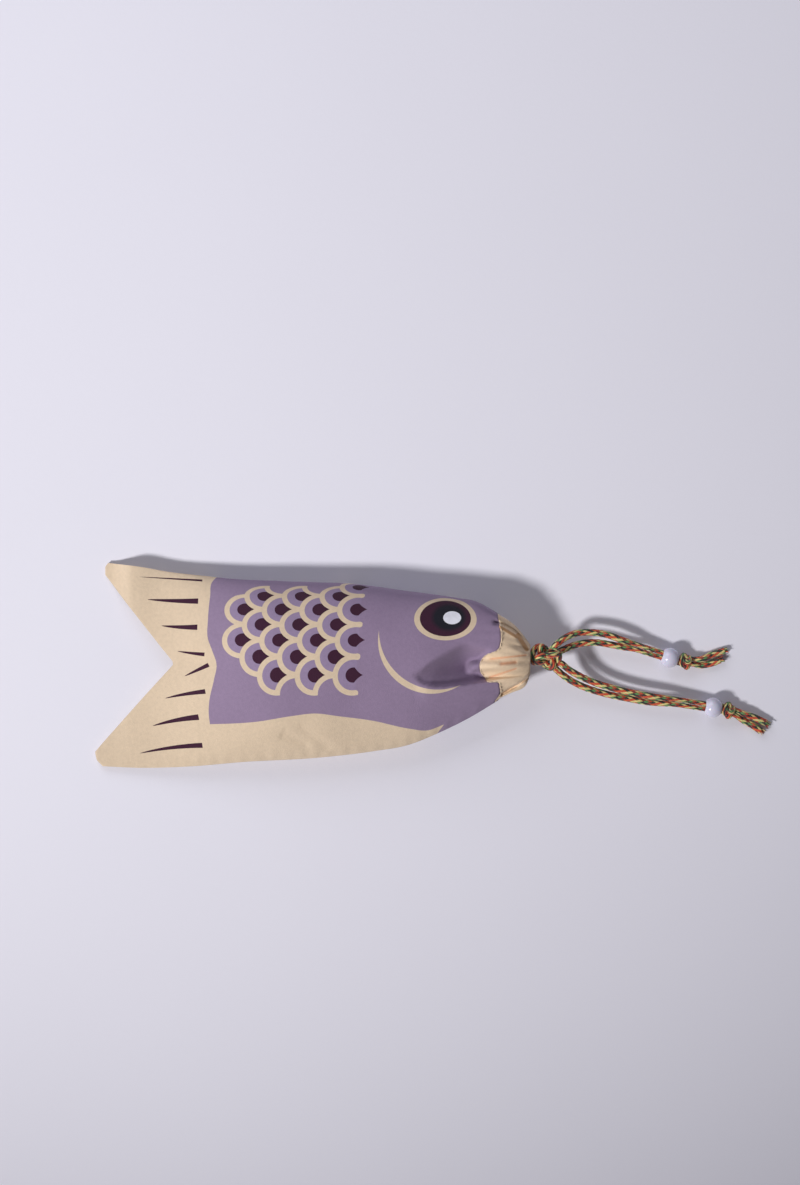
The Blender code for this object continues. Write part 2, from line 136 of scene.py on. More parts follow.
# The print, in millimetres on the laid cloth: x along the fish, y up to the back.
TAIL_PRINT = ((-48, -60), (-50, -28.9), (-50.6, -23.2), (-50.2, -16.9), (-47.8, -6.5), (-46.5, 1.0),
              (-48.6, 7.6), (-50.9, 13.9), (-50.9, 22.8), (-49.9, 35), (-49.0, 41.8), (-45.0, 46.0))
BELLY_PRINT = ((-60, -29.0), (-51, -28.7), (-27, -27.2), (-9, -24.2), (2, -22.95), (14, -24.35),
               (30, -26.5), (49, -30.7), (57.5, -31.6), (65.75, -28.7), (75, -26.0))
ROW_PLACES = ((-80, -85.2), (5.2, 0), (13.3, 9.1), (20.9, 18.2), (28.3, 27.3), (35.2, 36.4),
              (39.4, 45.5), (60, 95))
SCALE_FIRST, SCALE_STEP, SCALE_ROW, SCALE_LEAN = -34.1, 9.28, 9.1, 0.06
SCALE_R, SCALE_RING, SCALE_DROP = 10.16, 7.55, 3.75
LAST_COLUMN = 6
DROP_SIDE, PALE_SIDE = 1.2, 1.5     # past the disc's centre: where the drop widens, the pale stops
CAP_X, CAP_Y, CAP_R = 1.6, 8.8, 1.35            # round end of the open rings in the last column
GILL, GILL_CUT = ((59.45, 13.06), (26.2, 26.2)), ((62.6, 17.8), (28.9, 28.9))
EYE, PUPIL = ((66.3, 23.5), (15.35, 10.4)), ((66.3, 23.8), (12.55, 8.7))
IRIS, GLINT = ((68.0, 24.3), (7.5, 5.9)), ((69.6, 24.15), (4.4, 3.2))
SPUR = (62.5, -33.2, 0.72)          # end of the belly's cream: x and y on its edge, and its lean
TAIL_STROKES = (((-85.65, 44.3), (-54.0, 42.45), 0.9, 0.0), ((-81.5, 33.05), (-55.9, 32.25), 2.4, 0.5),
                ((-74.5, 20), (-56.2, 19.35), 2.4, 0.6), ((-66.35, 7.4), (-52.6, 5.9), 1.7, 0.3),
                ((-62.75, -4.95), (-50.5, 0.8), 1.9, 0.0), ((-72.75, -16.1), (-52.2, -12.4), 2.1, -0.7),
                ((-79.1, -29.9), (-55.7, -25.2), 2.6, -1.1),
                ((-85.65, -43.65), (-54.0, -39.3), 2.3, -1.5))

# Braid, frayed yarns and stitches, in millimetres.
BRAID_STEP, BRAID_CARRIERS, BRAID_SIDES = 3.4, 8, 48
YARN_R, YARN_COUNT = 0.2, 18
STITCH_R, STITCH_PITCH = 0.2, 2.5

# Mouth knot: roll and share of the knot's size of each closed turn. The cord is drawn thinner
# in the knots than along its strands.
KNOT_TURNS = ((0.5, 1.0), (2.4, 0.93))
KNOT_CORD_R, END_KNOT_CORD_R, END_KNOT_ROLL = 1.5, 1.3, 0.8

# Wadding: its gap to the cloth's surface, its widths and its ends along the pouch.
WADDING_GAP, WADDING_WIDTHS, WADDING_ENDS = 1.7, (0.08, 0.92), (-56, 82)

# Points of each surface: across one side, and along the pouch or the casing.
CLOTH_ACROSS, CLOTH_ALONG = 88, 190
WADDING_ACROSS, WADDING_ALONG = 40, 90
CASING_ACROSS, CASING_ALONG = 110, 46
PATH_SPACING = 0.35                 # between the rings of a free cord or a knot

# Stage, in metres: the camera looks straight down on the aim.
AIM = (0.044, 0.0365, 0.0)
CAMERA_HEIGHT, VIEW_HEIGHT, SENSOR = 1.6, 0.5925, 36.0
FLOOR_HALF, FLOOR_LEVEL = 1500.0, -0.35         # millimetres


def rgb(red, green, blue):
    """Linear colour from the three 8-bit values of a screen colour."""
    value = np.array([red, green, blue]) / 255
    return tuple(np.where(value <= 0.04045, value / 12.92, ((value + 0.055) / 1.055) ** 2.4))


# ---------------------------------------------------------------- settings

def colour(name, description, value):
    return bpy.props.FloatVectorProperty(name=name, description=description, default=value,
                                         subtype="COLOR", size=3, min=0.0, max=1.0)


def length(name, description, value):
    return bpy.props.FloatProperty(name=name, description=description, default=value * MM,
                                   unit="LENGTH", precision=5)


class PouchColours(bpy.types.PropertyGroup):
    """Colours of the pouch."""
    cream: colour("Cream", "Ground colour of the printed cotton", rgb(219, 198, 172))
    purple: colour("Purple", "Body colour of the print", rgb(147, 128, 156))
    lilac: colour("Lilac", "Paler colour inside each printed scale", rgb(151, 133, 164))
    plum: colour("Plum", "Dark colour of the scale drops, tail strokes and pupil", rgb(60, 25, 48))
    navy: colour("Navy", "Darkest part of the printed pupil", rgb(26, 26, 38))
    glint: colour("Glint", "Printed highlight in the eye", rgb(236, 237, 249))
    casing: colour("Casing", "Plain cotton of the drawstring casing", rgb(237, 211, 180))
    # Painted light: the warm glow that light through the cloth gives in the casing's tight creases.
    crease: colour("Crease", "Warm light inside the casing's tight creases", rgb(232, 160, 118))
    strap: colour("Strap", "Cord seen through the casing", rgb(205, 155, 104))
    bead: colour("Bead", "Plastic of the beads", rgb(218, 216, 236))
    floor: colour("Floor", "Paper under the pouch", rgb(232, 231, 242))
    wadding: colour("Wadding", "Filling", rgb(240, 238, 232))
    thread: colour("Thread", "Sewing thread", rgb(222, 204, 178))


class PouchSizes(bpy.types.PropertyGroup):
    """Sizes of the finish; the pouch's own sizes come from the frame."""
    cloth: length("Cloth", "Thickness of the printed cotton", 0.35)
    casing: length("Casing cloth", "Thickness of the doubled casing", 0.5)
    weave: length("Weave", "Distance between two threads of the weave", 0.5)
    pucker: length("Pucker", "Height of the puckers along the belly seam", 0.2)
    relief: length("Braid relief", "Height of a yarn over the cord's valleys", 0.2)
    stitch: length("Stitch", "Length of one stitch", 1.5)


# ---------------------------------------------------------------- shader maths

class Signal:
    """A node's output; arithmetic on it adds Math nodes."""

    def __init__(self, paint, socket):
        self.paint, self.socket = paint, socket

    def __add__(self, other):
        return self.paint.math("ADD", self, other)

    def __sub__(self, other):
        return self.paint.math("SUBTRACT", self, other)

    def __rsub__(self, other):
        return self.paint.math("SUBTRACT", other, self)

    def __mul__(self, other):
        return self.paint.math("MULTIPLY", self, other)

    def __truediv__(self, other):
        return self.paint.math("DIVIDE", self, other)

    def __pow__(self, other):
        return self.paint.math("POWER", self, other)

    def __mod__(self, other):
        return self.paint.math("FLOORED_MODULO", self, other)

    def __lt__(self, other):
        return self.paint.math("LESS_THAN", self, other)

    def __gt__(self, other):
        return self.paint.math("GREATER_THAN", self, other)

    def __abs__(self):
        return self.paint.math("ABSOLUTE", self)

    def floor(self):
        return self.paint.math("FLOOR", self)

    def round(self):
        return self.paint.math("ROUND", self)

    def sine(self):
        return self.paint.math("SINE", self)

    def root(self):
        return self.paint.math("SQRT", self)

    def least(self, other):
        return self.paint.math("MINIMUM", self, other)

    def most(self, other):
        return self.paint.math("MAXIMUM", self, other)

    def pick(self, yes, no):
        """yes where this signal is 1, no where it is 0."""
        return self * yes + (1 - self) * no

    __radd__, __rmul__ = __add__, __mul__


class Paint:
    """One material and its nodes around a Principled shader."""

    def __init__(self, name, **fixed):
        self.material = bpy.data.materials.new(name)
        self.material.use_nodes = True
        self.tree = self.material.node_tree
        self.shader = self.tree.nodes["Principled BSDF"]
        for socket, value in fixed.items():
            self.shader.inputs[socket.replace("_", " ")].default_value = value

    def node(self, kind, settings=None, sockets=None, out=0):
        """Add a node: its settings first, then a value or a signal for each named socket."""
        made = self.tree.nodes.new(kind)
        for name, value in (settings or {}).items():
            if name == "stops":
                self.stops(made.color_ramp, value)
            else:
                setattr(made, name, value)
        for name, value in (sockets or {}).items():
            self.feed(made.inputs[name], value)
        return Signal(self, made.outputs[out])

    def stops(self, ramp, stops):
        """Give a ramp its stops, as pairs of a position and a colour."""
        ramp.interpolation = "CONSTANT"
        while len(ramp.elements) < len(stops):
            ramp.elements.new(1.0)
        for element, (position, value) in zip(ramp.elements, stops):
            element.position = position
            element.color = (*value, 1.0)

    def feed(self, socket, value):
        if isinstance(value, Signal):
            self.tree.links.new(value.socket, socket)
        elif hasattr(value, "__len__") and socket.type == "RGBA":
            socket.default_value = (*tuple(value)[:3], 1.0)
        else:
            socket.default_value = value

    def math(self, operation, *values):
        return self.node("ShaderNodeMath", {"operation": operation}, dict(enumerate(values)))

    def mix(self, factor, first, second, blend="MIX"):
        """Colour between first and second."""
        return self.node("ShaderNodeMix", {"data_type": "RGBA", "blend_type": blend},
                         {0: factor, 6: first, 7: second}, out=2)

    def shade(self, value, tone):
        """A colour made lighter or darker by a tone."""
        grey = self.node("ShaderNodeCombineXYZ", sockets={0: tone, 1: tone, 2: tone})
        return self.mix(1.0, value, grey, "MULTIPLY")

    def split(self, vector):
        """The x, y and z signals of a vector."""
        made = self.node("ShaderNodeSeparateXYZ", sockets={0: vector})
        return [Signal(self, socket) for socket in made.socket.node.outputs]

    def place(self):
        return self.node("ShaderNodeTexCoord", out="Object")

    def noise(self, vector, scale, detail=2.0):
        return self.node("ShaderNodeTexNoise", sockets={"Vector": vector, "Scale": scale,
                                                        "Detail": detail})

    def attribute(self, name):
        return self.node("ShaderNodeAttribute", {"attribute_name": name}, out="Vector")

    def number(self, name):
        return self.node("ShaderNodeAttribute", {"attribute_name": name}, out="Fac")

    def colour(self, value):
        self.feed(self.shader.inputs["Base Color"], value)

    def rough(self, value):
        self.feed(self.shader.inputs["Roughness"], value)

    def bump(self, height, distance):
        """Relief of that height in metres, on the shader's Normal."""
        made = self.node("ShaderNodeBump", sockets={"Height": height, "Distance": distance})
        self.feed(self.shader.inputs["Normal"], made)


# ---------------------------------------------------------------- curves and grids

def through(stations):
    """Smooth curve through (position, value) stations; beyond the ends it keeps the end value."""
    x, y = np.array(stations, float).T
    slope = np.gradient(y, x)

    def at(p):
        p = np.clip(p, x[0], x[-1])
        i = np.clip(np.searchsorted(x, p) - 1, 0, len(x) - 2)
        step = x[i + 1] - x[i]
        t = (p - x[i]) / step
        return ((2 * t**3 - 3 * t**2 + 1) * y[i] + (t**3 - 2 * t**2 + t) * step * slope[i]
                + (3 * t**2 - 2 * t**3) * y[i + 1] + (t**3 - t**2) * step * slope[i + 1])
    return at


back_edge, belly_edge = through(BACK_EDGE), through(BELLY_EDGE)
back_height, belly_height = through(BACK_HEIGHT), through(BELLY_HEIGHT)
crown_up, crown_down = through(CROWN_UP), through(CROWN_DOWN)
back_fullness = through(BACK_FULLNESS)
lip, hollow_end, hollow_depth = through(LIP), through(HOLLOW_END), through(HOLLOW_DEPTH)
mouth_seam = through(MOUTH_SEAM)


def ease(low, high, value):
    """0 below low, 1 above high, smooth between."""
    t = np.clip((value - low) / (high - low), 0, 1)
    return t * t * (3 - 2 * t)


def unit(vectors):
    return vectors / np.linalg.norm(vectors, axis=-1, keepdims=True)


def near_line(x, y, line):
    """1 on the segment line = (start, end, width, depth), fading as a bell over its width."""
    (x0, y0), (x1, y1), width, depth = line
    run = np.array([x1 - x0, y1 - y0])
    t = np.clip(((x - x0) * run[0] + (y - y0) * run[1]) / (run @ run), 0, 1)
    away = np.hypot(x - x0 - t * run[0], y - y0 - t * run[1])
    return np.exp(-(away / width) ** 2) * ease(0, 0.15, t + 0.05)


def crown(x, u):
    """Height across the pouch: steep at the back fold (u = 1), wedge-shaped at the belly."""
    belly_power, back_power = 0.75, back_fullness(x)
    widest = belly_power / (belly_power + back_power)
    peak = widest**belly_power * (1 - widest)**back_power
    return np.clip(u, 0, 1)**belly_power * np.clip(1 - u, 0, 1)**back_power / peak


def head_folds(x, y):
    """Rise of the upper cloth at the head: a hollow behind the lip, and a pleat out of it."""
    north = y - lip(x)
    share = north / np.maximum(hollow_end(x) - lip(x), 0.3)
    descent = LIP_STEP * ease(-0.8, 1.2, north) + (1 - LIP_STEP) * ease(0.0, 0.5, share)
    hollow = hollow_depth(x) * descent * (1 - ease(0.5, 1.05, share))
    lobe = (LOBE_RISE * ease(*LOBE_START, x) * np.exp(-(north / LOBE_WIDTH) ** 2)
            * (1 - ease(-0.8, 1.0, north)))
    ridge_x, ridge_y, slope = PLEAT_RIDGE
    away = np.abs(y - ridge_y - (x - ridge_x) * slope)
    width = PLEAT_WIDTH + PLEAT_SPREAD * ease(*PLEAT_SPREADS, x)
    pleat = PLEAT_RISE * np.exp(-(away / width) ** 3) * ease(*PLEAT_START, x)
    (pit_x, pit_y), (wide, high), depth = SEAM_PIT
    pit = depth * np.exp(-((x - pit_x) / wide) ** 2 - ((y - pit_y) / high) ** 2)
    return pleat - hollow + lobe - pit


def creasing(x, u, y, side, pucker):
    """Small unevenness of stuffed cotton: broad swells, belly seam puckers, gathers at the mouth."""
    inside = np.sin(math.pi * np.clip(u, 0, 1)) ** 0.5
    full = ease(-72, -30, x)
    swell = 0.32 * np.sin(x / 9.5 + 1.1 * side + y / 23) * np.sin(y / 8.0 + 0.6 + x / 41)
    swell += 0.2 * np.sin((x - 0.7 * y) / 4.7 + side) * np.sin((y + 0.3 * x) / 6.3)
    belly = pucker * np.sin(x * 0.86 + 0.9 * np.sin(x / 9)) * np.exp(-((y - belly_edge(x)) / 4.5) ** 2)
    gather = 0.2 * np.sin(y * 1.25 + 0.8 * side) * ease(74, 92, x)
    dimples = sum(line[3] * near_line(x, y, line) for line in DIMPLES)
    tail = TAIL_DIP[3] * near_line(x, y, TAIL_DIP) * ease(-72, -60, x)
    return (swell * full * 0.8 + gather) * inside + belly - dimples * (side > 0) - tail


def skin(x, u, side, pucker, folds=1.0):
    """Outer surface of the cloth at station x and width u, for the upper (1) or under (-1) side.

    The two sides stand off the pouch's middle plane by the crown, and meet in a rounded edge at
    the belly and tail seams; folds and creases are then added along the side's own direction.
    """
    y = belly_edge(x) + u * (back_edge(x) - belly_edge(x))
    middle = belly_height(x) + u * (back_height(x) - belly_height(x))
    rise = np.where(side > 0, crown_up(x), crown_down(x)) * crown(x, u) + EDGE
    rise = rise + creasing(x, u, y, side, pucker) * np.minimum(1, 0.25 + rise / 4)
    rise = rise + np.where(side > 0, folds * head_folds(x, y), 0)
    return np.stack([x, y, np.maximum(middle + side * rise, 0.0)], axis=-1)


def tail_end(u):
    """x of the tail's V-cut edge at width u, straight between its corners."""
    width, x = np.array(TAIL_END).T
    return np.interp(u, width, x)


def seam_x(u, side):
    """x where the casing is sewn on: straight below, pulled back by the pleat above."""
    x = np.full_like(u, MOUTH_X)
    for _ in range(3):
        y = belly_edge(x) + u * (back_edge(x) - belly_edge(x))
        x = np.where(side > 0, mouth_seam(y), MOUTH_X)
    return x


def across(count):
    """Widths from belly to back, closer together at both edges."""
    return 0.5 - 0.5 * np.cos(np.linspace(0, math.pi, count))


def both_sides(widths):
    """Widths out on the upper side and back on the under side, and the side (1 or -1) of each."""
    return np.concatenate([widths, widths[::-1]]), np.repeat([1.0, -1.0], len(widths))


def grid_mesh(name, grid, wrap=False, caps=False, uv=None, fields=None):
    """Mesh of a grid of points in millimetres, with a quad between each four neighbours.

    wrap joins the last column to the first, caps closes the first and last row with one face
    each, uv = (name, row values, column span) writes a map that runs on across the join, and
    fields are named values of the points, one number or three.
    """
    rows, columns = grid.shape[:2]
    row, column = np.meshgrid(np.arange(rows - 1), np.arange(columns - (not wrap)), indexing="ij")
    after = (column + 1) % columns
    quads = np.stack([row * columns + column, row * columns + after, (row + 1) * columns + after,
                      (row + 1) * columns + column], axis=-1).reshape(-1, 4)
    faces = quads.tolist()
    if caps:
        faces += [list(range(columns))[::-1], list(range((rows - 1) * columns, rows * columns))]
    mesh = bpy.data.meshes.new(name)
    mesh.from_pydata((grid.reshape(-1, 3) * MM).tolist(), [], faces)
    if uv:
        layer, along, span = uv
        ends = np.stack([along[row], along[row], along[row + 1], along[row + 1]], axis=-1)
        turns = np.stack([column, column + 1, column + 1, column], axis=-1) * span / columns
        corners = np.stack([ends, turns], axis=-1).reshape(-1, 2)
        spare = np.zeros((len(mesh.loops) - len(corners), 2))
        mesh.uv_layers.new(name=layer).data.foreach_set("uv", np.concatenate([corners, spare]).ravel())
    for field, values in (fields or {}).items():
        vector = values.ndim == 3
        made = mesh.attributes.new(field, "FLOAT_VECTOR" if vector else "FLOAT", "POINT")
        made.data.foreach_set("vector" if vector else "value", values.astype(np.float32).ravel())
    mesh.shade_smooth()
    return mesh


def joined(name, meshes):
    """One mesh of several, with their maps and fields."""
    parts = [bpy.data.objects.new(name, mesh) for mesh in meshes]
    for part in parts:
        bpy.context.scene.collection.objects.link(part)
    with bpy.context.temp_override(active_object=parts[0], selected_editable_objects=parts):
        bpy.ops.object.join()
    mesh = parts[0].data
    bpy.data.objects.remove(parts[0])
    mesh.name = name
    return mesh


def put(name, mesh, finish, body, stands_for=()):
    """Add a piece that rides on a body and takes a finish; the frame nodes it stands for are hidden."""
    piece = bpy.data.objects.new(name, mesh)
    bpy.context.scene.collection.objects.link(piece)
    mesh.materials.clear()
    mesh.materials.append(finish)
    if stands_for:
        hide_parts(*stands_for)
    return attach(piece, body)


def thicken(piece, thickness):
    """Give an open cloth surface an inward thickness."""
    wall = piece.modifiers.new("thickness", "SOLIDIFY")
    wall.thickness = thickness
    wall.offset = -1.0
    wall.use_even_offset = False


def smooth_path(points, spacing):
    """Points and radii read at even steps from a smooth curve through the route's own points."""
    points = np.array(points, float)
    knots = np.concatenate([[0], np.cumsum(np.linalg.norm(np.diff(points[:, :3], axis=0), axis=1))])
    where = np.linspace(0, knots[-1], max(2, int(round(knots[-1] / spacing)) + 1))
    return np.stack([through(list(zip(knots, column)))(where) for column in points.T], axis=1)


# ---------------------------------------------------------------- cords

def braided_tube(name, path, relief, facing=None, start=0.0):
    """Round braid carried along a path of x, y, z and radius.

    Yarns run round both ways; i and j count them. In each diamond cell one family lies on top,
    by the parity of the whole parts of i and j, and it is a dome along and across the cell.
    """
    centre, radius = path[:, :3], path[:, 3]
    tangent = unit(np.gradient(centre, axis=0))
    up = np.array([0.0, 0.0, 1.0]) if facing is None else facing
    side = unit(np.cross(tangent, np.broadcast_to(up, tangent.shape)))
    lift = np.cross(side, tangent)
    along = start + np.concatenate([[0], np.cumsum(np.linalg.norm(np.diff(centre, axis=0), axis=1))])
    turn = np.linspace(0, 2 * math.pi, BRAID_SIDES, endpoint=False)
    angle, distance = np.meshgrid(turn, along)
    i = BRAID_CARRIERS * angle / (2 * math.pi) + distance / BRAID_STEP
    j = BRAID_CARRIERS * angle / (2 * math.pi) - distance / BRAID_STEP
    over = (np.floor(i) + np.floor(j)) % 2 == 0
    wide, long = np.sin(math.pi * (i % 1)), np.sin(math.pi * (j % 1))
    dome = np.where(over, wide**0.7 * (0.35 + 0.65 * long**0.6), long**0.7 * (0.35 + 0.65 * wide**0.6))
    reach = radius[:, None] + relief * (dome - 0.62)
    ring = (np.cos(angle)[..., None] * lift[:, None] - np.sin(angle)[..., None] * side[:, None])
    grid = centre[:, None] + reach[..., None] * ring
    return grid_mesh(name, grid, wrap=True, caps=True,
                     uv=("braid", along / BRAID_STEP, BRAID_CARRIERS))


def bore_axis(place):
    """Unit vector along the strands at a bead or end knot, away from the mouth knot."""
    heading = math.radians(place["heading"])
    return unit(np.array([math.cos(heading), math.sin(heading), -DROP]))


def strand_points(name):
    """Route of one free strand: lead, straight run through bead and end knot, and tail."""
    route = ROUTES[name]
    points = [(*point, CORD_R) for point in route["lead"]]
    for place, distances in ((BEADS[route["bead"]], np.linspace(-STRAIGHT_RUN, BEAD_R - 0.6, 5)),
                             (END_KNOTS[route["bead"]], (-2.2, 1.0, 4.0))):
        axis = bore_axis(place)
        aside = np.cross([0.0, 0.0, 1.0], axis) * ABREAST * route["side"]
        points += [(*(np.array(place["centre"]) + aside + axis * d), SQUEEZED_R) for d in distances]
    points += [(*point, CORD_R) for point in route["tail"]]
    points[-3] = (*points[-3][:3], (SQUEEZED_R + 2 * CORD_R) / 3)
    return points


def drawcord_points(side):
    """Cord inside one casing band: in at the mouth, round inside the band and out again."""
    middle_y, middle_z = CINCH_CENTRE
    bundle = CORD_R + 0.2
    low_z, high_z = middle_z + side * (bundle + 0.2), middle_z + side * 4.6
    half = ((CINCH_X - 0.6, bundle, middle_z + side * bundle), (CINCH_X - 4.5, 2.6, low_z),
            (CINCH_X - 7.5, 6.0, low_z), (CINCH_X - 8.6, 7.0, low_z + side * 0.6))
    route = [(x, middle_y - y, z) for x, y, z in half] + [(CINCH_X - 9.2, middle_y, high_z)]
    route += [(x, middle_y + y, z) for x, y, z in reversed(half)]
    return [(*point, CORD_R) for point in route]


def overhand(centre, half, radius, axis, roll):
    """Closed trefoil path of an overhand knot: three lobes that pass over and under each other."""
    t = np.linspace(0, 2 * math.pi, 200)
    flat = np.stack([(np.sin(t) + 2 * np.sin(2 * t)) / 2.6, (np.cos(t) - 2 * np.cos(2 * t)) / 3.0,
                     -np.sin(3 * t)], axis=1) * (np.array(half) - radius)
    along = np.array(axis, float)
    side = unit(np.cross([0.0, 0.0, 1.0], along))
    lift = np.cross(along, side)
    turned = math.cos(roll) * side + math.sin(roll) * lift
    risen = -math.sin(roll) * side + math.cos(roll) * lift
    points = np.array(centre) + flat @ np.stack([along, turned, risen])
    path = smooth_path(np.column_stack([points, np.full(len(t), radius)]), PATH_SPACING)
    return path, path[:, :3] - np.array(centre)


def frayed_end(name, path, seed):
    """Loose yarns at a cut end: thin tubes that leave it and spread, each with its own shade."""
    rng = np.random.default_rng(seed)
    tip, axis = path[-1, :3], unit(path[-1, :3] - path[-8, :3])
    side = unit(np.cross(axis, [0.0, 0.0, 1.0]))
    lift = np.cross(side, axis)
    angle = rng.uniform(0, 2 * math.pi, YARN_COUNT)[:, None]
    out = rng.uniform(0.2, 1.0, YARN_COUNT)[:, None]
    reach = rng.uniform(1.4, 2.9, YARN_COUNT)[:, None]
    t = np.linspace(0, 1, 7)[None, :]
    spread = 0.75 * path[-1, 3] * out * (1 + 0.55 * t**1.5)
    bend = 0.25 * np.sin(3.2 * t + 5 * out) * t
    centre = (tip + axis * ((t - 0.25) * reach)[..., None]
              + side * (np.cos(angle) * spread + bend)[..., None]
              + lift * (np.sin(angle) * spread)[..., None])
    centre[..., 2] = np.maximum(centre[..., 2], 0.3)
    ring = np.linspace(0, 2 * math.pi, 6, endpoint=False)
    thin = (YARN_R * (1 - 0.45 * t**2))[..., None, None]
    grid = centre[:, :, None] + thin * (np.cos(ring)[:, None] * side + np.sin(ring)[:, None] * lift)
    shade = np.broadcast_to(rng.uniform(0, 1, YARN_COUNT)[:, None, None], grid.shape[:3])
    meshes = [grid_mesh(name, part, wrap=True, caps=True, fields={"yarn": tone})
              for part, tone in zip(grid, shade)]
    return joined(name, meshes)


# ---------------------------------------------------------------- materials

YARNS = (rgb(228, 86, 48), rgb(242, 226, 150), rgb(26, 40, 38), rgb(150, 34, 34))
CROSS_YARNS = (rgb(96, 158, 92), rgb(240, 222, 140), rgb(226, 88, 44), rgb(36, 38, 36))


def yarn_stops(colours):
    return [(index / len(colours), value) for index, value in enumerate(colours)]


def braid_finish():
    """Multicoloured braid: each yarn keeps its own colour, with painted shade in the gaps and across
    its plies, and fine fibres.
    """
    paint = Paint("braided_cord", Roughness=0.72, Sheen_Weight=0.25)
    along, turn, _ = paint.split(paint.node("ShaderNodeUVMap", {"uv_map": "braid"}))
    i, j = turn + along, turn - along
    over = ((i.floor() + j.floor()) % 2) < 0.5
    first = paint.node("ShaderNodeValToRGB", {"stops": yarn_stops(YARNS)},
                       {0: (i.floor() % 4) / 4 + 0.02})
    second = paint.node("ShaderNodeValToRGB", {"stops": yarn_stops(CROSS_YARNS)},
                        {0: (j.floor() % 4) / 4 + 0.02})
    yarn = paint.mix(over, second, first)
    wide = over.pick(i % 1, j % 1)
    edge = abs(wide - 0.5) * 2
    ply = (wide * 18.8).sine() * 0.5 + 0.5
    fleck = paint.noise(paint.place(), 2600.0) > 0.64
    # Painted shade: each yarn darkens towards its edges, where the gaps are, and across its plies with
    # the bump's ripple.
    tone = (1 - edge ** 6 * 0.75) * (0.82 + ply * 0.22)
    paint.colour(paint.mix(fleck * 0.35, paint.shade(yarn, tone), rgb(226, 218, 196)))
    paint.bump(ply * 0.6 + paint.noise(paint.place(), 3800.0), 0.00012)
    return paint.material


def fray_finish():
    """Loose yarns in the braid's shades."""
    paint = Paint("frayed_yarn", Roughness=0.8, Sheen_Weight=0.3)
    stops = yarn_stops(YARNS + CROSS_YARNS)
    yarn = paint.node("ShaderNodeValToRGB", {"stops": stops}, {0: paint.number("yarn")})
    tone = paint.noise(paint.place(), 1800.0) * 0.5 + 0.72
    paint.colour(paint.shade(yarn, tone))
    paint.bump(paint.noise(paint.place(), 4200.0), 0.0001)
    return paint.material


def from_ellipse(x, y, centre, half):
    """Square of the distance from an ellipse's centre, 1 on its edge."""
    across_x, across_y = (x - centre[0]) / half[0], (y - centre[1]) / half[1]
    return across_x * across_x + across_y * across_y


def in_ellipse(x, y, centre, half):
    """1 inside an ellipse."""
    return from_ellipse(x, y, centre, half) < 1


def scale_column(k, x, q):
    """Distances of a point to the scale discs of column k.

    Even columns stand on odd rows and odd columns on even rows. near is the distance to the
    closest row, real to the closest row that is printed; both are far outside for no column.
    """
    parity = k % 2
    offset = 1 - parity
    row = ((q / SCALE_ROW - offset) / 2).round() * 2 + offset
    lowest = (1 - k).most(parity - 1)
    highest = parity + 3 + (k > LAST_COLUMN - 0.5) * 2
    printed = row.most(lowest).least(highest)
    du = x - (k * SCALE_STEP + SCALE_FIRST)
    dv, dv_real = q - row * SCALE_ROW, q - printed * SCALE_ROW
    absent = (k < -0.5) * 100
    near = (du * du + dv * dv).root() + absent
    real = (du * du + dv_real * dv_real).root() + absent
    return {"k": k, "du": du, "dv": dv, "near": near, "real": real,
            "virtual": abs(row - printed) > 0.5}


def scales(x, q):
    """Masks of the scale print: ring, pale inside and dark drop.

    Discs overlap like roof tiles, the right ones on top, so a point belongs to the rightmost
    column whose disc covers it. A disc past the printed ones only cuts the others' outline.
    """
    leaning = x - q * SCALE_LEAN
    right = ((leaning - SCALE_FIRST + SCALE_R) / SCALE_STEP).floor().least(LAST_COLUMN)
    first, second, third = (scale_column(right - step, leaning, q) for step in range(3))
    inside = (first["real"].least(second["real"]).least(third["real"])) < SCALE_R
    on_first, on_second = first["near"] < SCALE_R, second["near"] < SCALE_R

    def top(key):
        return on_first.pick(first[key], on_second.pick(second[key], third[key]))
    distance, du, dv = top("near"), top("du"), top("dv")
    shown = inside * (1 - top("virtual"))
    last = top("k") > LAST_COLUMN - 0.5
    beyond, height = du - CAP_X, abs(dv) - CAP_Y
    cap = (beyond * beyond + height * height) < CAP_R**2
    open_end = last * (beyond > 0) * (1 - cap)
    ring = inside * (distance > SCALE_RING) * (1 - open_end)
    after_x = leaning - (SCALE_FIRST + SCALE_STEP * (LAST_COLUMN + 1))
    after_row = q - (q / (2 * SCALE_ROW)).round() * (2 * SCALE_ROW)
    clear = (after_x * after_x + after_row * after_row) > SCALE_R**2
    drop = shown * clear * (distance < SCALE_DROP).most(du > DROP_SIDE)
    pale = shown * (distance < SCALE_RING) * (1 - last * (du > PALE_SIDE))
    return ring, pale, drop


def stroke(x, y, line):
    """1 inside a tapered brush stroke: a point at its start, full width at its cut end."""
    (x0, y0), (x1, y1), wide, bow = line
    run = math.hypot(x1 - x0, y1 - y0)
    cos, sin = (x1 - x0) / run, (y1 - y0) / run
    along = ((x - x0) * cos + (y - y0) * sin) / run
    off = (y - y0) * cos - (x - x0) * sin + along * (1 - along) * (2 * bow)
    half = along.most(0.0) ** 0.6 * (wide * 0.56)
    return (abs(off) < half) * (along < 1)


def cotton_relief(paint, x, y, weave):
    """Plain weave of two thread families, with slight slubs."""
    step = 2 * math.pi / (weave / MM)
    cloth = (x * step).sine() * (y * step).sine()
    return cloth * 0.5 + paint.noise(paint.place(), 900.0, 3.0) * 1.4


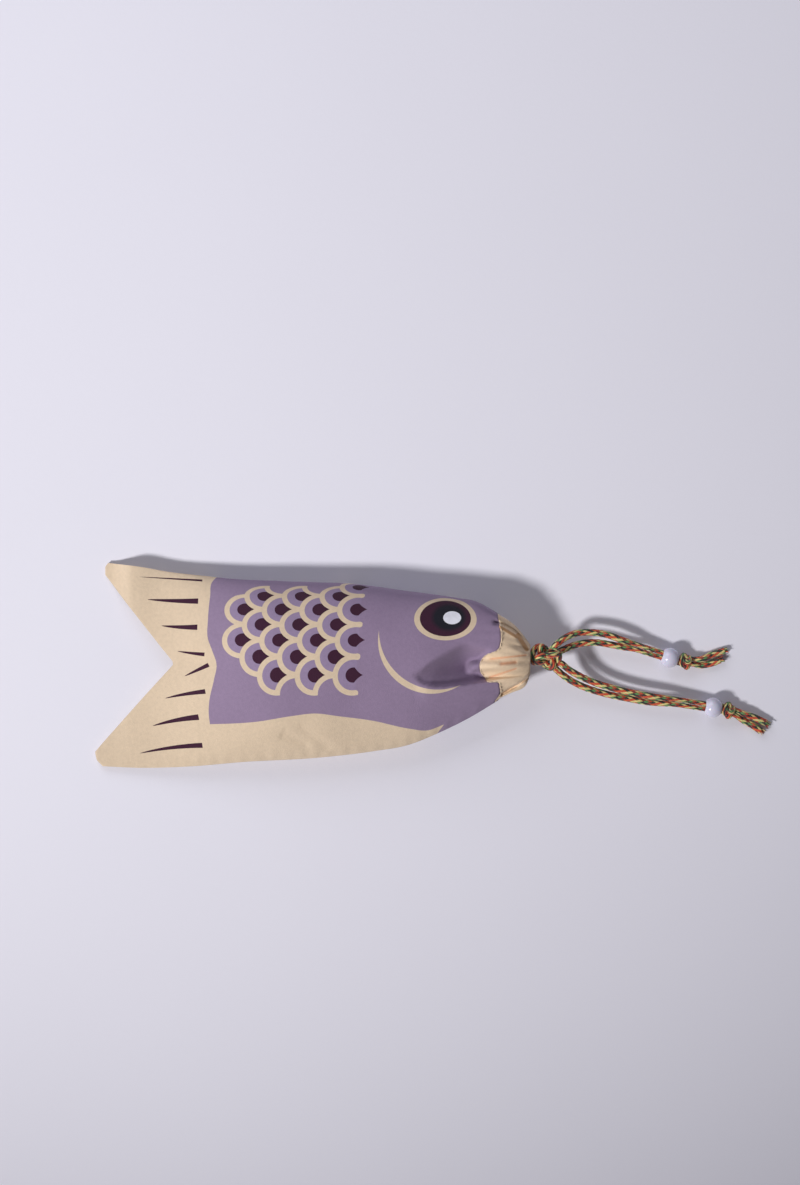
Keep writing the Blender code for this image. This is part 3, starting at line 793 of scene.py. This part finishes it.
def printed_finish(colours, weave):
    """Printed cotton: cream ground, purple body with scales, gill, eye and tail strokes."""
    paint = Paint("printed_cotton", Roughness=0.86, Sheen_Weight=0.12, Specular_IOR_Level=0.25)
    x, y, q = paint.split(paint.attribute("print_place"))
    above_belly, past_tail, _ = paint.split(paint.attribute("print_edges"))
    spur_x, spur_y, lean = SPUR
    spur = x - (spur_x + (y - spur_y) * lean)
    body = (above_belly > 0).most(spur > 0) * (past_tail > 0)
    ring, pale, drop = scales(x, q)

    look = paint.mix(body, colours.cream, colours.purple)
    look = paint.mix(pale, look, colours.lilac)
    look = paint.mix(ring, look, colours.cream)
    look = paint.mix(drop, look, colours.plum)
    gill = in_ellipse(x, y, *GILL) * (1 - in_ellipse(x, y, *GILL_CUT))
    look = paint.mix(gill, look, colours.cream)
    look = paint.mix(in_ellipse(x, y, *EYE), look, colours.cream)
    look = paint.mix(in_ellipse(x, y, *PUPIL), look, colours.plum)
    iris = ((1.25 - from_ellipse(x, y, *IRIS).root()) * 3).least(1).most(0)
    look = paint.mix(iris, look, colours.navy)
    look = paint.mix(in_ellipse(x, y, *GLINT), look, colours.glint)
    strokes = None
    for line in TAIL_STROKES:
        mark = stroke(x, y, line)
        strokes = mark if strokes is None else strokes.most(mark)
    look = paint.mix(strokes, look, colours.plum)

    mottle = paint.noise(paint.place(), 620.0, 4.0) * 0.22 + paint.noise(paint.place(), 60.0) * 0.08
    paint.colour(paint.shade(look, mottle + 0.85))
    paint.rough(paint.noise(paint.place(), 400.0) * 0.12 + 0.8)
    paint.bump(cotton_relief(paint, x, y, weave), 0.00009)
    return paint.material


def casing_finish(colours, weave):
    """Plain peach cotton, with warm light in its creases and the cord showing through."""
    paint = Paint("casing_cotton", Roughness=0.85, Sheen_Weight=0.12, Specular_IOR_Level=0.25)
    x, y, _ = paint.split(paint.place())
    crease, strap = paint.number("crease"), paint.number("strap")
    # Painted light: the warm glow is mixed into the cotton's colour along the creases.
    look = paint.mix((crease * 1.1 - 0.1).most(0).least(1) * 0.75, colours.casing, colours.crease)
    look = paint.mix((strap * 3.0 - 1.0).most(0).least(1) * 0.85, look, colours.strap)
    paint.colour(paint.shade(look, paint.noise(paint.place(), 620.0, 4.0) * 0.2 + 0.9))
    paint.rough(paint.noise(paint.place(), 400.0) * 0.12 + 0.8)
    paint.bump(cotton_relief(paint, x * 1000, y * 1000, weave), 0.0001)
    return paint.material


def bead_finish(colours):
    """Glossy pale plastic with slight moulding waves."""
    paint = Paint("bead_plastic", Roughness=0.16, Coat_Weight=0.35, Coat_Roughness=0.08,
                  Subsurface_Weight=0.12, Subsurface_Scale=0.002)
    tone = paint.noise(paint.place(), 240.0)
    paint.colour(paint.mix(tone * 0.25, colours.bead, rgb(196, 194, 216)))
    paint.rough(paint.noise(paint.place(), 900.0) * 0.1 + 0.12)
    paint.bump(paint.noise(paint.place(), 420.0), 0.00006)
    return paint.material


def wadding_finish(colours):
    """Matted polyester fibre."""
    paint = Paint("wadding_fibre", Roughness=0.95, Sheen_Weight=0.4)
    fibre = paint.noise(paint.place(), 700.0, 6.0)
    paint.colour(paint.mix(fibre, colours.wadding, rgb(206, 204, 198)))
    paint.bump(fibre, 0.0008)
    return paint.material


def thread_finish(colours):
    """Twisted sewing thread."""
    paint = Paint("sewing_thread", Roughness=0.6, Sheen_Weight=0.2)
    x, y, _ = paint.split(paint.place())
    twist = ((x + y) * 9000).sine() * 0.5 + 0.5
    paint.colour(paint.mix(twist * 0.4, colours.thread, rgb(170, 150, 124)))
    paint.bump(twist, 0.00006)
    return paint.material


def floor_finish(colours):
    """Matt pale paper with a faint grain."""
    paint = Paint("floor_paper", Roughness=0.75, Specular_IOR_Level=0.2)
    cloud = paint.noise(paint.place(), 5.0, 3.0)
    paint.colour(paint.mix(cloud * 0.12, colours.floor, rgb(206, 204, 216)))
    paint.bump(paint.noise(paint.place(), 1400.0, 3.0), 0.00004)
    return paint.material


# ---------------------------------------------------------------- operators

class StageOperator(bpy.types.Operator):
    """Lay out the floor, the lights and the camera above the pouch."""
    bl_idname = "pouch.stage"
    bl_label = "Stage"

    def execute(self, context):
        scene = context.scene
        scene.view_settings.view_transform = "Standard"
        row = np.linspace(-FLOOR_HALF, FLOOR_HALF, 3)
        x, y = np.meshgrid(row, row)
        grid = np.stack([x, y, np.full_like(x, FLOOR_LEVEL)], axis=-1)
        floor = bpy.data.objects.new("floor", grid_mesh("floor", grid))
        scene.collection.objects.link(floor)
        floor.data.materials.append(floor_finish(scene.pouch_colours))

        aim = Vector(AIM)
        camera = bpy.data.objects.new("camera", bpy.data.cameras.new("camera"))
        camera.location = aim + Vector((0.0, 0.0, CAMERA_HEIGHT))
        camera.data.lens = SENSOR * CAMERA_HEIGHT / VIEW_HEIGHT
        camera.data.clip_end = 20.0
        scene.collection.objects.link(camera)
        scene.camera = camera

        self.lamp(scene, "key", "SPOT", aim, Vector((-0.82, -0.57, 1.0)), 2.2, 168.0,
                  (1.0, 0.985, 0.97), radius=0.16, bright=Vector((0.02, 0.26, 0.0)))
        self.lamp(scene, "fill", "AREA", aim, Vector((-0.5, 1.0, 0.9)), 1.3, 5.2,
                  (0.93, 0.94, 1.0), size=0.9)
        world = bpy.data.worlds.new("studio")
        world.use_nodes = True
        background = world.node_tree.nodes["Background"]
        background.inputs["Color"].default_value = (0.95, 0.92, 1.0, 1.0)
        background.inputs["Strength"].default_value = 0.13
        scene.world = world
        return {"FINISHED"}

    def lamp(self, scene, name, kind, aim, direction, distance, power, tint, radius=0.0, size=0.0,
             bright=Vector()):
        """Add a lamp on a line from the aim; a spot's brightest place is moved by bright."""
        data = bpy.data.lights.new(name, kind)
        data.energy, data.color = power, tint
        if kind == "SPOT":
            data.shadow_soft_size = radius
            data.spot_size, data.spot_blend = math.radians(42), 1.0
        else:
            data.size = size
        light = bpy.data.objects.new(name, data)
        light.location = aim + direction.normalized() * distance
        light.rotation_mode = "QUATERNION"
        light.rotation_quaternion = (light.location - aim - bright).to_track_quat("Z", "Y")
        scene.collection.objects.link(light)


class CordsOperator(bpy.types.Operator):
    """Braid the four free strands, their frayed ends and the cords inside the casing."""
    bl_idname = "pouch.cords"
    bl_label = "Cords"

    def execute(self, context):
        relief = context.scene.pouch_sizes.relief / MM
        braid, fray = braid_finish(), fray_finish()
        for number, name in enumerate(ROUTES):
            points = strand_points(name)
            path = smooth_path(points, PATH_SPACING)
            piece = put(name.replace("strand", "braid"),
                        braided_tube(name, path, relief, start=5.3 * number), braid, "pouch",
                        (name,))
            route = smooth_path(points, 1.7)[:, :3] * MM
            tuft = put(f"{piece.name}_fray", frayed_end(name, path, 11 + number), fray, "pouch")
        for letter, side in (("a", 1), ("b", -1)):
            path = smooth_path(drawcord_points(side), 0.5)
            put(f"drawcord_{letter}_braid", braided_tube("drawcord", path, relief), braid,
                "pouch", (f"drawcord_{letter}_in_casing",))
        return {"FINISHED"}


class KnotsOperator(bpy.types.Operator):
    """Tie the knot at the mouth and the overhand knot behind each bead."""
    bl_idname = "pouch.knots"
    bl_label = "Knots"

    def execute(self, context):
        relief = context.scene.pouch_sizes.relief / MM
        braid = braid_finish()
        turns = []
        for roll, share in KNOT_TURNS:
            path, facing = overhand(KNOT_CENTRE, np.array(KNOT_HALF) * share, KNOT_CORD_R, (1, 0, 0),
                                    roll)
            turns.append(braided_tube("turn", path, relief, facing, start=7 * roll))
        for name in ROUTES:
            points = np.array(strand_points(name))[:2, :3]
            inward = points[0] + 0.55 * (np.array(KNOT_CENTRE) - points[0])
            stub = [(*inward, 1.4), (*(0.5 * (inward + points[0])), 1.6), (*points[0], CORD_R),
                    (*(points[0] + 0.15 * (points[1] - points[0])), CORD_R)]
            turns.append(braided_tube("stub", smooth_path(stub, PATH_SPACING), relief))
        put("mouth_knot_turns", joined("mouth_knot_turns", turns), braid, "pouch",
            ("mouth_knot",))
        for letter, place in END_KNOTS.items():
            axis = bore_axis(place)
            half = (END_KNOT_LENGTH / 2, END_KNOT_R, END_KNOT_R)
            path, facing = overhand(place["centre"], half, END_KNOT_CORD_R, axis,
                                    END_KNOT_ROLL)
            put(f"end_knot_{letter}_turns", braided_tube("knot", path, relief, facing), braid,
                "pouch", (f"end_knot_{letter}",))
        return {"FINISHED"}


class BeadsOperator(bpy.types.Operator):
    """Turn the two round beads, each with its bore."""
    bl_idname = "pouch.beads"
    bl_label = "Beads"

    def execute(self, context):
        finish = bead_finish(context.scene.pouch_colours)
        for letter, place in BEADS.items():
            put(f"bead_{letter}_turned", self.bead(place), finish, f"bead_{letter}",
                (f"bead_{letter}",))
        return {"FINISHED"}

    def bead(self, place):
        """Closed profile of the sphere and its bore, with a softened rim, spun round the axis."""
        rim = math.acos(BORE_R / BEAD_R) - 0.06
        arc = np.linspace(rim, -rim, 40)
        outer = np.stack([BEAD_R * np.cos(arc), BEAD_R * np.sin(arc)], axis=1)
        depth = BEAD_R * math.sin(rim) - 0.25
        bore = np.stack([np.full(8, BORE_R), np.linspace(-depth, depth, 8)], axis=1)
        profile = np.concatenate([outer, bore, outer[:1]])
        axis = bore_axis(place)
        side = unit(np.cross(axis, [0.0, 0.0, 1.0]))
        lift = np.cross(axis, side)
        turn = np.linspace(0, 2 * math.pi, 72, endpoint=False)
        ring = np.cos(turn)[:, None] * side + np.sin(turn)[:, None] * lift
        grid = (np.array(place["centre"]) + profile[:, :1, None] * ring[None]
                + profile[:, 1, None, None] * axis)
        return grid_mesh("bead", grid[::-1], wrap=True)


class ClothOperator(bpy.types.Operator):
    """Sew the printed cloth: one piece folded along the back, gathered at the mouth."""
    bl_idname = "pouch.cloth"
    bl_label = "Printed cloth"

    def execute(self, context):
        colours, sizes = context.scene.pouch_colours, context.scene.pouch_sizes
        grid, place, edges = self.surface(sizes.pucker / MM)
        mesh = grid_mesh("printed_cloth", grid, fields={"print_place": place, "print_edges": edges})
        piece = put("printed_cloth_sewn", mesh, printed_finish(colours, sizes.weave), "pouch",
                    ("printed_body_cloth",))
        thicken(piece, sizes.cloth)
        return {"FINISHED"}

    def surface(self, pucker):
        """Cloth from belly to back on the upper side and back to belly on the under side.

        The print's y follows the plan, and where the cloth turns steep at the back it follows
        half the length of the cloth, so that the print doesn't smear down the fold.
        """
        u_loop, side = both_sides(across(CLOTH_ACROSS))
        u, s = np.meshgrid(u_loop, np.linspace(0, 1, CLOTH_ALONG), indexing="ij")
        sides = np.broadcast_to(side[:, None], u.shape)
        end = seam_x(u, sides)
        x = tail_end(u) + s * (end - tail_end(u))
        grid = skin(x, u, sides, pucker)
        plain = skin(x, u, sides, 0.0, 0.0)[:CLOTH_ACROSS]
        step = np.diff(plain[..., 1:], axis=0)
        climb = np.maximum(step[..., 0], 0.5 * np.hypot(step[..., 0], step[..., 1]))
        laid = np.concatenate([plain[:1, :, 1], plain[:1, :, 1] + np.cumsum(climb, axis=0)])
        laid = np.concatenate([laid, laid[::-1]])
        rows, values = np.array(ROW_PLACES).T
        place = np.stack([x, laid, np.interp(laid, rows, values)], axis=-1)
        tail_print = through([(height, along) for along, height in TAIL_PRINT])
        edges = np.stack([laid - through(BELLY_PRINT)(x), x - tail_print(laid),
                          np.zeros_like(x)], axis=-1)
        return grid, place, edges


class WaddingOperator(bpy.types.Operator):
    """Fill the pouch with a soft pad that follows the cloth from inside."""
    bl_idname = "pouch.wadding"
    bl_label = "Wadding"

    def execute(self, context):
        mesh = grid_mesh("wadding", self.surface(), wrap=True, caps=True)
        piece = put("wadding_pad", mesh, wadding_finish(context.scene.pouch_colours), "pouch",
                    ("wadding",))
        return {"FINISHED"}

    def surface(self):
        """The cloth's own section set inwards by a gap, carried from tail to mouth."""
        u_loop, side = both_sides(np.linspace(*WADDING_WIDTHS, WADDING_ACROSS))
        x, u = np.meshgrid(np.linspace(*WADDING_ENDS, WADDING_ALONG), u_loop, indexing="ij")
        sides = np.broadcast_to(side, x.shape)
        grid = skin(x, u, sides, 0.0)
        grid[..., 2] -= WADDING_GAP * sides
        return grid[:, ::-1]


class CasingOperator(bpy.types.Operator):
    """Gather the plain casing from the print's seam to the cinch, with its pleats."""
    bl_idname = "pouch.casing"
    bl_label = "Casing"

    def execute(self, context):
        colours, sizes = context.scene.pouch_colours, context.scene.pouch_sizes
        finish = casing_finish(colours, sizes.weave)
        for place, side in (("upper", 1), ("under", -1)):
            grid, crease, strap = self.surface(side, sizes.pucker / MM)
            mesh = grid_mesh("casing", grid[::side],
                             fields={"crease": crease[::side], "strap": strap[::side]})
            piece = put(f"casing_gathered_{place}", mesh, finish, "pouch",
                        (f"casing_band_{place}",))
            thicken(piece, sizes.casing)
        return {"FINISHED"}

    def surface(self, side, pucker):
        """From the seam to the cinch's outline, drawn in by a power of the way, with a bulge
        at belly and back, pleats that grow towards the middle, and the named creases."""
        u, s = np.meshgrid(across(CASING_ACROSS), np.linspace(0, 1, CASING_ALONG), indexing="ij")
        sides = np.full_like(u, side)
        start_x = seam_x(u, sides)
        start = skin(start_x, u, sides, pucker)
        angle = math.pi * (1 - u)
        lift = np.maximum(CINCH_HALF[1] * np.sin(angle), EDGE)
        end = np.stack([np.full_like(u, CINCH_X), CINCH_CENTRE[0] + CINCH_HALF[0] * np.cos(angle),
                        CINCH_CENTRE[1] + side * lift], axis=-1)
        draw = (s**0.85)[..., None]
        grid = start * (1 - draw) + end * draw
        grid[..., 0] = start_x + s * (CINCH_X - start_x)
        swell = np.sin(math.pi * s)
        low = (1 - u) ** 2
        grid[..., 1] += 3.0 * swell * u**3 - 7.0 * low * s**1.2 * (1 - s**10)
        pleats = 0.34 * np.sin(u * 40 + 3 * s) + 0.26 * np.sin(u * 63 - 2 * s + 1)
        grid[..., 2] += side * (1.6 * swell * np.sin(math.pi * u) + pleats * swell**0.6)
        x, y = grid[..., 0], grid[..., 1]
        crease, strap = np.zeros_like(u), np.zeros_like(u)
        if side > 0:
            grid[..., 2] += 4.0 * np.exp(-((y - 0.6) / 5.5) ** 2) * np.sin(math.pi * s**0.8)
            near = {line: near_line(x, y, line) for line in CREASES + FOLDS + STRAPS}
            grid[..., 2] -= sum(line[3] * share for line, share in near.items())
            # Share of painted warm light along the creases, for the casing's colour.
            crease = np.max([near[line] for line in CREASES], axis=0)
            strap = np.max([near[line] for line in STRAPS], axis=0)
        grid[..., 2] = np.maximum(grid[..., 2], 0.0)
        return grid, crease, strap


class StitchingOperator(bpy.types.Operator):
    """Stitch the casing to the print and give the inner seam threads their finish."""
    bl_idname = "pouch.stitching"
    bl_label = "Stitching"

    def execute(self, context):
        colours, sizes = context.scene.pouch_colours, context.scene.pouch_sizes
        finish = thread_finish(colours)
        for place, side in (("upper", 1), ("under", -1)):
            mesh = self.stitches(side, sizes.stitch / MM, sizes.pucker / MM)
            put(f"casing_stitches_{place}", mesh, finish, "pouch",
                (f"casing_seam_thread_{place}",))
        for name in ("belly_seam_thread", "tail_seam_thread"):
            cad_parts[name].material_slots[0].material = finish
        return {"FINISHED"}

    def stitches(self, side, run, pucker):
        """Short threads laid along the seam, each a tube that dips into the cloth at its ends."""
        u = np.linspace(0.05, 0.95, 400)
        sides = np.full_like(u, side)
        line = skin(seam_x(u, sides) + 0.5, u, sides, pucker)
        along = np.concatenate([[0], np.cumsum(np.linalg.norm(np.diff(line, axis=0), axis=1))])
        starts = np.arange(0, along[-1] - run, STITCH_PITCH)
        t = np.linspace(0, 1, 6)
        where = starts[:, None] + t * run
        centre = np.stack([np.interp(where, along, line[:, axis]) for axis in range(3)], axis=-1)
        centre[..., 2] += side * (0.3 * np.sin(math.pi * t) - 0.12)
        tangent = unit(np.gradient(centre, axis=1))
        flat = unit(np.cross(tangent, [0.0, 0.0, 1.0]))
        lift = np.cross(flat, tangent)
        ring = np.linspace(0, 2 * math.pi, 6, endpoint=False)[:, None]
        grid = centre[:, :, None] + STITCH_R * (np.cos(ring) * lift[:, :, None]
                                                - np.sin(ring) * flat[:, :, None])
        return joined("stitches", [grid_mesh("stitch", part, wrap=True, caps=True) for part in grid])


OPERATORS = (StageOperator, CordsOperator, KnotsOperator, BeadsOperator, CasingOperator,
             WaddingOperator, ClothOperator, StitchingOperator)


class PouchPanel(bpy.types.Panel):
    """Steps that build the pouch, in order."""
    bl_idname = "VIEW3D_PT_pouch"
    bl_label = "Carp pouch"
    bl_space_type = "VIEW_3D"
    bl_region_type = "UI"
    bl_category = "Pouch"

    def draw(self, context):
        for operator in OPERATORS:
            self.layout.operator(operator.bl_idname)


CLASSES = (PouchColours, PouchSizes, *OPERATORS, PouchPanel)


def register():
    for kind in CLASSES:
        bpy.utils.register_class(kind)
    bpy.types.Scene.pouch_colours = bpy.props.PointerProperty(type=PouchColours)
    bpy.types.Scene.pouch_sizes = bpy.props.PointerProperty(type=PouchSizes)


def unregister():
    del bpy.types.Scene.pouch_colours, bpy.types.Scene.pouch_sizes
    for kind in reversed(CLASSES):
        bpy.utils.unregister_class(kind)


def main():
    register()
    for operator in OPERATORS:
        group, name = operator.bl_idname.split(".")
        getattr(getattr(bpy.ops, group), name)()


if __name__ == "__main__":
    main()
